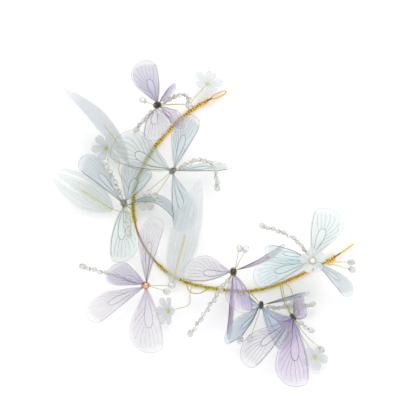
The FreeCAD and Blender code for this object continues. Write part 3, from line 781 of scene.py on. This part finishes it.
def loopLine(end, heading, roll):  # two straight sides joined by half circles, beginning at the band's end
    half = loopFacts["width"] / 2 - loopFacts["wire"]
    run = loopFacts["length"] - loopFacts["width"]
    q = np.linspace(-math.pi / 2, math.pi / 2, 24)
    far = np.stack([half + run + half * np.cos(q), half * np.sin(q)], 1)
    near = np.stack([half - half * np.cos(q), -half * np.sin(q)], 1)
    flat = np.concatenate([far, near, far[:1]]) * mm
    a, b = math.radians(heading), math.radians(roll)
    along = np.array([math.cos(a), math.sin(a), 0])
    across = np.array([-math.sin(a) * math.cos(b), math.cos(a) * math.cos(b), math.sin(b)])
    return evenly(end + flat[:, :1] * along + flat[:, 1:] * across, bandFacts["step"])


for side, (end, heading, roll, body) in loops.items():
    line = loopLine(np.array(bandRoute[end]) * mm, heading, roll)
    pair = [tube(around(line, loopFacts["offset"], loopFacts["pitch"], start, 10), loopFacts["strand"])
            for start in (0, math.pi)]
    makePiece("loop_wires_" + side, pair, goldWrap, body, "gold_wrap", ["tie_loop_" + side])
print("band made")


# The three long petals and their ribs; a slit is its middle across and its width at the tip
petalEdge = {"at": [0.0, 0.10, 0.24, 0.45, 0.62, 0.76, 0.90, 0.97, 1.0],
             "half": [0.11, 0.48, 0.80, 1.0, 0.93, 0.74, 0.42, 0.19, 0.0]}
petalLooks = {
    "upper": {"near": shade(178, 188, 188), "far": shade(178, 184, 194), "dense": 0.92, "stripes": 0.3,
              "slits": []},
    "left": {"near": shade(170, 188, 172), "far": shade(190, 200, 198), "dense": 0.56, "stripes": 1.0,
             "slits": [(0.22, 0.42), (-0.50, 0.22)]},
    "centre": {"near": shade(188, 194, 190), "far": shade(184, 192, 196), "dense": 0.72, "stripes": 0.8,
               "slits": []},
}
petalFacts = {"rows": 90, "cols": 41, "tip": 0.9995, "wave": 0.4 * mm, "crease": 0.8 * mm, "halfThick": 0.2 * mm,
              "endReach": 0.3 * mm}


def petalFrame(node):
    points = looseParts(node)[0]
    ribs = np.concatenate(looseParts("petal_ribs"))
    axes = mainAxes(points)
    far = (points - points.mean(0)) @ axes[0]
    ends = [points[far < far.min() + petalFacts["endReach"]].mean(0),
            points[far > far.max() - petalFacts["endReach"]].mean(0)]
    ends.sort(key=lambda e: np.linalg.norm(ribs - e, axis=1).min())
    root, tip = ends
    along = unit(tip - root)
    across = unit(axes[1] - (axes[1] @ along) * along)
    normal = np.cross(along, across)
    z = (points - root) @ normal
    if abs(z.min()) > z.max():
        normal, across, z = -normal, -across, -z
    return {"root": root, "along": along, "across": across, "normal": normal, "length": np.linalg.norm(tip - root),
            "half": np.ptp((points - root) @ across) / 2, "bow": z.max() - petalFacts["halfThick"]}


# Root + s along + t of the half width, bowed along, creased down the middle and waved at the sides
def petalPoint(w, s, t):
    half = smoothCurve(s, petalEdge["at"], np.array(petalEdge["half"])) * w["half"]
    wave = petalFacts["wave"] * np.sin(2 * math.pi * (2.6 * s + 0.25 * t)) * np.abs(t) ** 1.5
    crease = petalFacts["crease"] * (np.abs(t) - 0.5) * np.sin(math.pi * s)
    z = 4 * w["bow"] * s * (1 - s) + crease + wave
    return (w["root"] + (s * w["length"])[..., None] * w["along"] + (t * half)[..., None] * w["across"]
            + z[..., None] * w["normal"])


for petal, look in petalLooks.items():
    w = petalFrame("petal_" + petal)
    s = np.sin(np.linspace(0, math.pi / 2, petalFacts["rows"]))[:, None] * petalFacts["tip"]
    t = np.linspace(-1, 1, petalFacts["cols"])[None, :]
    s, t = np.broadcast_arrays(s, t)
    grid = petalPoint(w, s, t)
    maps = {"wing": np.stack([s, t / 2 + 0.5], -1), "cloth": np.stack([s * w["length"] / mm, t * w["half"] / mm], -1)}
    piece = makePiece("sheer_petal_" + petal, [sheetOf(grid, maps)], petalCloth(petal, look), "band_middle",
                      "white_organza", ["petal_" + petal])
    flat = (2 * float(w["half"]), float(w["length"]))
    min(gridArea(grid), flat[0] * flat[1])
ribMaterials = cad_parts["petal_ribs"].data.materials
ribMaterials.clear()
ribMaterials.append(yellowWire)
print("petals made")


# The flowers and the pearl
flowerFacts = {"rows": 14, "cols": 13, "cup": 0.10, "curl": 0.16, "curlFrom": 0.55, "lift": 0.2 * mm, "ripple": 0.012,
               "start": 0.06, "notch": 0.06, "tip": 0.999,
               "at": [0, 0.2, 0.45, 0.7, 0.9, 1.0], "half": [0.16, 0.55, 1.02, 1.16, 0.86, 0.34]}
heartFacts = {"spots": 5, "ring": 0.9 * mm, "spot": 0.55 * mm, "spotLift": 0.6 * mm, "middle": 0.8 * mm,
              "middleLift": 0.4 * mm, "evenness": 0.8}
pearlFacts = {"aboveFlower": 2.4 * mm, "ringDrop": 1.0 * mm, "ringRadius": 2.15 * mm, "ringWire": 0.26 * mm}


# A rounded petal from the flower's centre to the CAD petal's tip, cupped across and curled back at its end
def flowerPetal(centre, points, facing):
    along = unit(points.mean(0) - centre)
    flatAxis = mainAxes(points)[2]
    normal = unit(flatAxis - (flatAxis @ along) * along)
    across = np.cross(normal, along)
    reach = float(((points - centre) @ along).max())
    half = float(np.ptp((points - centre) @ across) / 2)
    if normal @ facing < 0:
        normal, across = -normal, -across
    s, t = np.meshgrid(np.sin(np.linspace(0.0, math.pi / 2, flowerFacts["rows"])) * flowerFacts["tip"],
                       np.linspace(-1, 1, flowerFacts["cols"]), indexing="ij")
    width = smoothCurve(s, flowerFacts["at"], np.array(flowerFacts["half"]) * half)
    notch = flowerFacts["notch"] * (1 - np.abs(t)) * s ** 6
    length = reach * (flowerFacts["start"] + (1 - flowerFacts["start"]) * s) * (1 - notch)
    curled = np.maximum(s - flowerFacts["curlFrom"], 0) ** 2
    z = (reach * (flowerFacts["cup"] * t * t * s - flowerFacts["curl"] * curled)
         + flowerFacts["lift"] + reach * flowerFacts["ripple"] * np.sin(9 * t + 5 * s))
    grid = centre + length[..., None] * along + (t * width)[..., None] * across + z[..., None] * normal
    return sheetOf(grid, {"wing": np.stack([s, t / 2 + 0.5], -1)})


def facingOf(centre, petals):  # the way that a flower faces, which is where its petals lean
    return unit(sum(unit(p.mean(0) - centre) for p in petals) + 1e-9)


def makeBall(centre, axis, radius, rows, sides):
    k = np.linspace(-1, 1, rows)
    return lathe(centre, axis, k * radius, radius * np.sqrt(1 - k * k), sides)


def flowerHeart(centre, facing):  # a ring of small beads round a larger one
    across = unit(np.cross(facing, [0.3, 0.1, 1.0]))
    up = np.cross(facing, across)
    made = []
    for spot in range(heartFacts["spots"]):
        turn = 2 * math.pi * spot / heartFacts["spots"]
        middle = centre + heartFacts["ring"] * (math.cos(turn) * across + math.sin(turn) * up)
        made.append(makeBall(middle + heartFacts["spotLift"] * facing, facing, heartFacts["spot"], 11, 10))
    return made + [makeBall(centre + heartFacts["middleLift"] * facing, facing, heartFacts["middle"], 11, 12)]


def isBall(points):  # a centre is nearly as thick as it is wide, and a petal is not
    spread = np.ptp(points @ mainAxes(points).T, axis=0)
    return spread.min() > heartFacts["evenness"] * spread.max()


flowerGroups = {"flowers_left_arm": "arm_left", "flowers_middle": "band_middle"}
stalks = {
    "arm_left": [[(-80.5, 5, 3.3), (-83, 6, 8), (-86.5, 13, 12), (-88.5, 28, 16.5)]],
    "band_middle": [[(-63.2, -64, 3.3), (-66, -65.5, 4.5), (-79, -65, 5), (-86, -57.5, 5), (-98, -59.5, 6.3)],
                    [(-52.5, -70.5, 3.3), (-51, -67, 3.2), (-49, -62.5, 3.2)],
                    [(21, -74.5, 3.3), (25, -80, 6), (32.5, -85.5, 8), (26.5, -98, 8), (25.7, -100, 8.3)],
                    [(63, -19.7, 3.3), (69, -18.5, 3.2), (76, -21, 2.6), (81.8, -22.9, 2.3)],
                    [(63, -21.5, 4.2), (72, -27, 8), (96, -34, 9), (120, -36.8, 6.3)]],
}
for node, body in flowerGroups.items():
    solids = looseParts(node)
    hearts = [(p.max(0) + p.min(0)) / 2 for p in solids if isBall(p)]
    leaves = [p for p in solids if not isBall(p)]
    owner = [int(np.argmin([np.linalg.norm(p.mean(0) - h) for h in hearts])) for p in leaves]
    parts, centres = [], []
    for index, heart in enumerate(hearts):
        petals = [p for p, o in zip(leaves, owner) if o == index]
        facing = facingOf(heart, petals)
        parts += [flowerPetal(heart, p, facing) for p in petals]
        centres += flowerHeart(heart, facing)
    makePiece(node + "_petals", parts, milkyPetal, body, "milky_flower", [node])
    makePiece(node + "_hearts", centres, yellowWire, body, "milky_flower")
    lines = [strand for line in stalks[body] for strand in twisted(line, wireFacts["fine"], wireFacts["finePitch"])]
    makePiece(node + "_stalks", lines, greenGold, body, "green_gold_wire", [node.replace("flowers", "flower_wires")])

pearlCentre = middleOf("flower_pearl")
pearlLow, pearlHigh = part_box("flower_pearl")
pearlRadius = (pearlHigh[0] - pearlLow[0]) / 2
crownCentre = pearlCentre - np.array([0, 0, pearlFacts["aboveFlower"]])
petals = looseParts("flower_on_butterfly")
facing = facingOf(crownCentre, petals)
makePiece("crown_flower_petals", [flowerPetal(crownCentre, p, facing) for p in petals], milkyPetal, "butterfly_6",
          "milky_flower", ["flower_on_butterfly"])
k = np.cos(np.linspace(math.pi, 0, 21))
pearl = lathe(pearlCentre, np.array([0, 0, 1.0]), k * pearlRadius, pearlRadius * np.sqrt(1 - k * k), 28)
makePiece("crown_pearl", [pearl], pearlPaint, "butterfly_6", "pearl", ["flower_pearl"])
turn = np.linspace(0, 2 * math.pi, 50)[:, None]
ring = pearlFacts["ringRadius"] * (np.cos(turn) * [1, 0, 0] + np.sin(turn) * [0, 1, 0])
cup = tube(pearlCentre + np.array([0, 0, -pearlFacts["ringDrop"]]) + ring, pearlFacts["ringWire"])
makePiece("crown_pearl_ring", [cup], greenGold, "butterfly_6", "green_gold_wire")
print("flowers made")


# Floor, light and camera
stageFacts = {"floor": 3.0, "below": 0.6 * mm, "world": 0.96, "turn": 51.0, "aim": (-16.1 * mm, -29.1 * mm),
              "width": 312 * mm, "high": 0.9}
lampFacts = {"key": {"at": (-0.5, 0.4, 1.1), "size": 0.6, "power": 5.2},
             "fill": {"at": (0.7, -0.5, 0.9), "size": 0.8, "power": 1.6}}


def makeFloor():
    reach = stageFacts["floor"]
    mesh = bpy.data.meshes.new("floor")
    mesh.from_pydata([(-reach, -reach, 0), (reach, -reach, 0), (reach, reach, 0), (-reach, reach, 0)], [],
                     [(0, 1, 2, 3)])
    p = Paint("floor")
    cloud = p.noise(p.place(), 6.0)
    mesh.materials.append(p.finish({"Base Color": p.mix(cloud, (0.93, 0.93, 0.935, 1), (0.95, 0.95, 0.95, 1)),
                                    "Roughness": 0.9, "Specular IOR Level": 0.1}))
    floor = bpy.data.objects.new("floor", mesh)
    floor.location.z = cadLow.z - stageFacts["below"]
    bpy.context.scene.collection.objects.link(floor)


def makeLight():
    world = bpy.data.worlds.new("studio")
    world.use_nodes = True
    sky = world.node_tree.nodes["Background"].inputs
    sky["Color"].default_value, sky["Strength"].default_value = (1.0, 1.0, 1.0, 1), stageFacts["world"]
    bpy.context.scene.world = world
    for name, facts in lampFacts.items():
        lamp = bpy.data.lights.new(name, "AREA")
        lamp.shape, lamp.size, lamp.energy = "DISK", facts["size"], facts["power"]
        lampObject = bpy.data.objects.new(name, lamp)
        lampObject.location = facts["at"]
        lampObject.rotation_mode = "QUATERNION"
        lampObject.rotation_quaternion = (-mathutils.Vector(facts["at"])).to_track_quat("-Z", "Y")
        bpy.context.scene.collection.objects.link(lampObject)


def makeCamera():
    lens = bpy.data.cameras.new("camera")
    lens.type, lens.ortho_scale = "ORTHO", stageFacts["width"]
    lens.clip_start, lens.clip_end = 0.01, 10
    camera = bpy.data.objects.new("camera", lens)
    camera.location = (*stageFacts["aim"], stageFacts["high"])
    camera.rotation_euler = (0, 0, math.radians(stageFacts["turn"]))
    bpy.context.scene.collection.objects.link(camera)
    bpy.context.scene.camera = camera


makeFloor()
makeLight()
makeCamera()
bpy.context.scene.view_settings.view_transform = "Standard"

print("scene ready")
